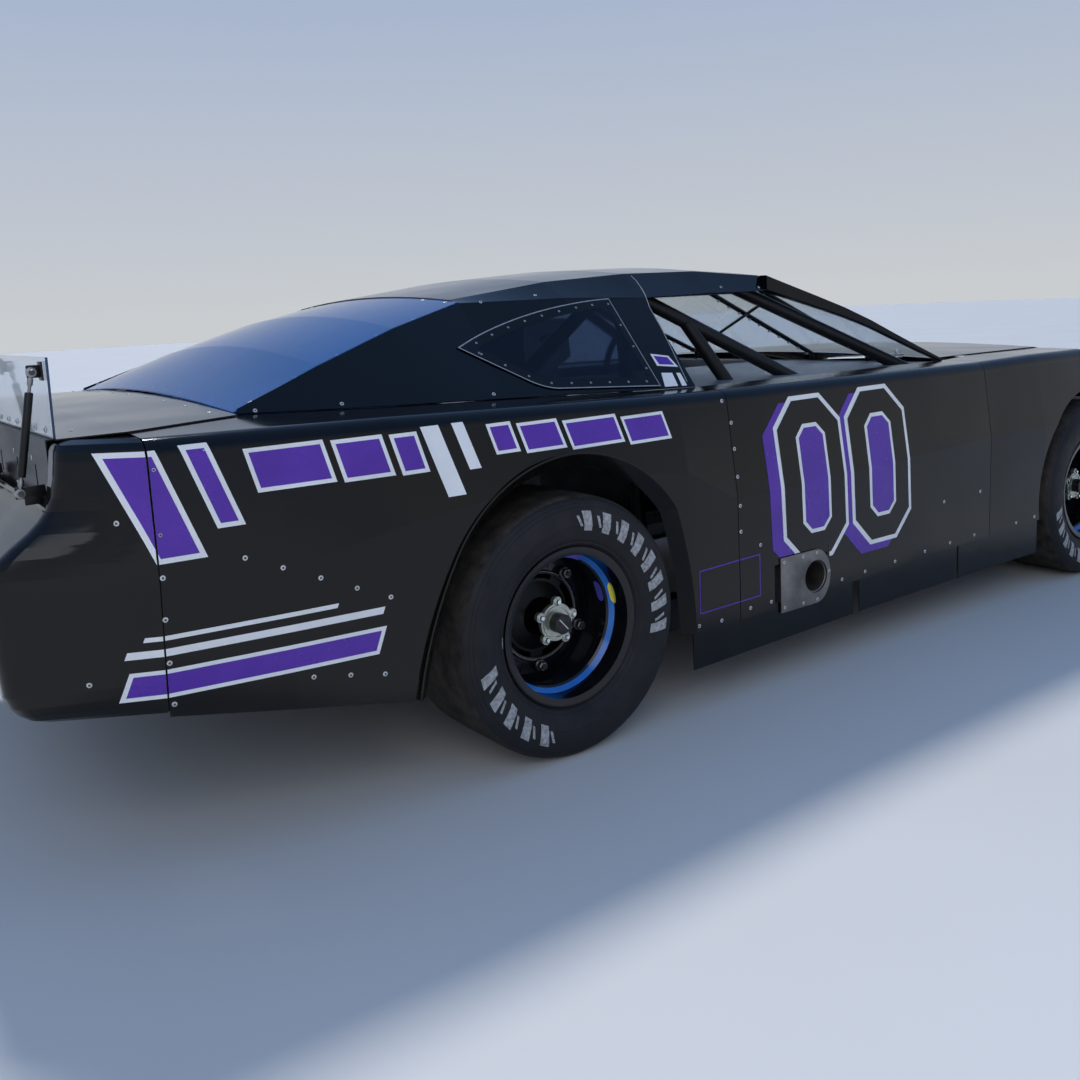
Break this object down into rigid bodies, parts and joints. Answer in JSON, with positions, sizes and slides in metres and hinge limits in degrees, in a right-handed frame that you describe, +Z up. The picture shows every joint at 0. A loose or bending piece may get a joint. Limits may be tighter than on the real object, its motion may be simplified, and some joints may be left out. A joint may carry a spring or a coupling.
{
  "type": "late model stock car",
  "caption": "Low black late model stock car with a long sloping rear window, clear tail spoiler, caged cabin, side skirts and wide racing tyres on deep black rims.",
  "frame": {"origin": "bottom centre of the bounding box, on the floor under the middle of the car", "axes": "+X forward to the nose, +Y to the car's left, +Z up"},
  "size_m": [5.02, 1.978, 1.2759],
  "materials": {
    "body_paint": "gloss black body paint",
    "clear_sheet": "clear polycarbonate",
    "smoked_sheet": "smoked polycarbonate",
    "bare_sheet": "bare aluminium sheet",
    "grey_sheet": "light grey painted sheet",
    "frame_paint": "satin black painted steel",
    "skirt_plastic": "black sheet plastic",
    "seat_shell": "brushed aluminium seat shell",
    "grip": "black grip",
    "cast_block": "painted cast iron",
    "steel": "worn steel",
    "exhaust_steel": "heat-stained steel",
    "spring_parts": "coated spring units",
    "rim_paint": "gloss black wheel paint",
    "hub_metal": "machined hub",
    "tyre_rubber": "scuffed slick racing tyre"
  },
  "bodies": {
    "chassis": {"nose": "body_paint", "hood": "body_paint", "fender_skins": "body_paint", "door_skins": "body_paint", "quarter_panels": "body_paint", "tail_cover": "body_paint", "deck_lid": "body_paint", "roof": "body_paint", "sail_panels": "body_paint", "windshield": "clear_sheet", "rear_window": "clear_sheet", "quarter_windows": "smoked_sheet", "spoiler": "clear_sheet", "spoiler_mount": "frame_paint", "spoiler_struts": "steel", "skirts": "skirt_plastic", "exhaust_plate": "bare_sheet", "frame_rails": "frame_paint", "roll_cage": "frame_paint", "cockpit_tin": "grey_sheet", "seat": "seat_shell", "steering_column": "steel", "engine_block": "cast_block", "driveline": "cast_block", "exhaust_pipe": "exhaust_steel", "fuel_cell": "skirt_plastic", "radiator": "bare_sheet", "rear_axle": "steel", "coilovers": "spring_parts", "front_arms": "steel"},
    "knuckle_left_body": {"knuckle_left": "steel"},
    "knuckle_right_body": {"knuckle_right": "steel"},
    "steering_wheel_body": {"steering_wheel": "grip"},
    "wheel_fl": {"tyre_fl": "tyre_rubber", "rim_fl": "rim_paint", "hub_fl": "hub_metal"},
    "wheel_fr": {"tyre_fr": "tyre_rubber", "rim_fr": "rim_paint", "hub_fr": "hub_metal"},
    "wheel_rl": {"tyre_rl": "tyre_rubber", "rim_rl": "rim_paint", "hub_rl": "hub_metal"},
    "wheel_rr": {"tyre_rr": "tyre_rubber", "rim_rr": "rim_paint", "hub_rr": "hub_metal"}
  },
  "joints": [
    {"name": "steer_left", "type": "hinge", "parent": "chassis", "child": "knuckle_left_body", "pos_m": [1.371, 0.69, 0.343], "axis": [0, 0, 1], "range_deg": [-22, 22]},
    {"name": "steer_right", "type": "hinge", "parent": "chassis", "child": "knuckle_right_body", "pos_m": [1.371, -0.69, 0.343], "axis": [0, 0, 1], "range_deg": [-22, 22]},
    {"name": "steering_wheel_turn", "type": "hinge", "parent": "chassis", "child": "steering_wheel_body", "pos_m": [0.125, 0.32, 0.9], "axis": [-0.9703, 0, 0.2419], "range_deg": [-176, 176]},
    {"name": "wheel_fl_spin", "type": "hinge", "parent": "knuckle_left_body", "child": "wheel_fl", "pos_m": [1.371, 0.832, 0.343], "axis": [0, 1, 0], "continuous": true},
    {"name": "wheel_fr_spin", "type": "hinge", "parent": "knuckle_right_body", "child": "wheel_fr", "pos_m": [1.371, -0.832, 0.343], "axis": [0, 1, 0], "continuous": true},
    {"name": "wheel_rl_spin", "type": "hinge", "parent": "chassis", "child": "wheel_rl", "pos_m": [-1.22, 0.832, 0.343], "axis": [0, 1, 0], "continuous": true},
    {"name": "wheel_rr_spin", "type": "hinge", "parent": "chassis", "child": "wheel_rr", "pos_m": [-1.22, -0.832, 0.343], "axis": [0, 1, 0], "continuous": true}
  ],
  "couplings": [
    {"joint": "steer_right", "follows": "steer_left", "ratio": 1},
    {"joint": "steering_wheel_turn", "follows": "steer_left", "ratio": 8}
  ]
}
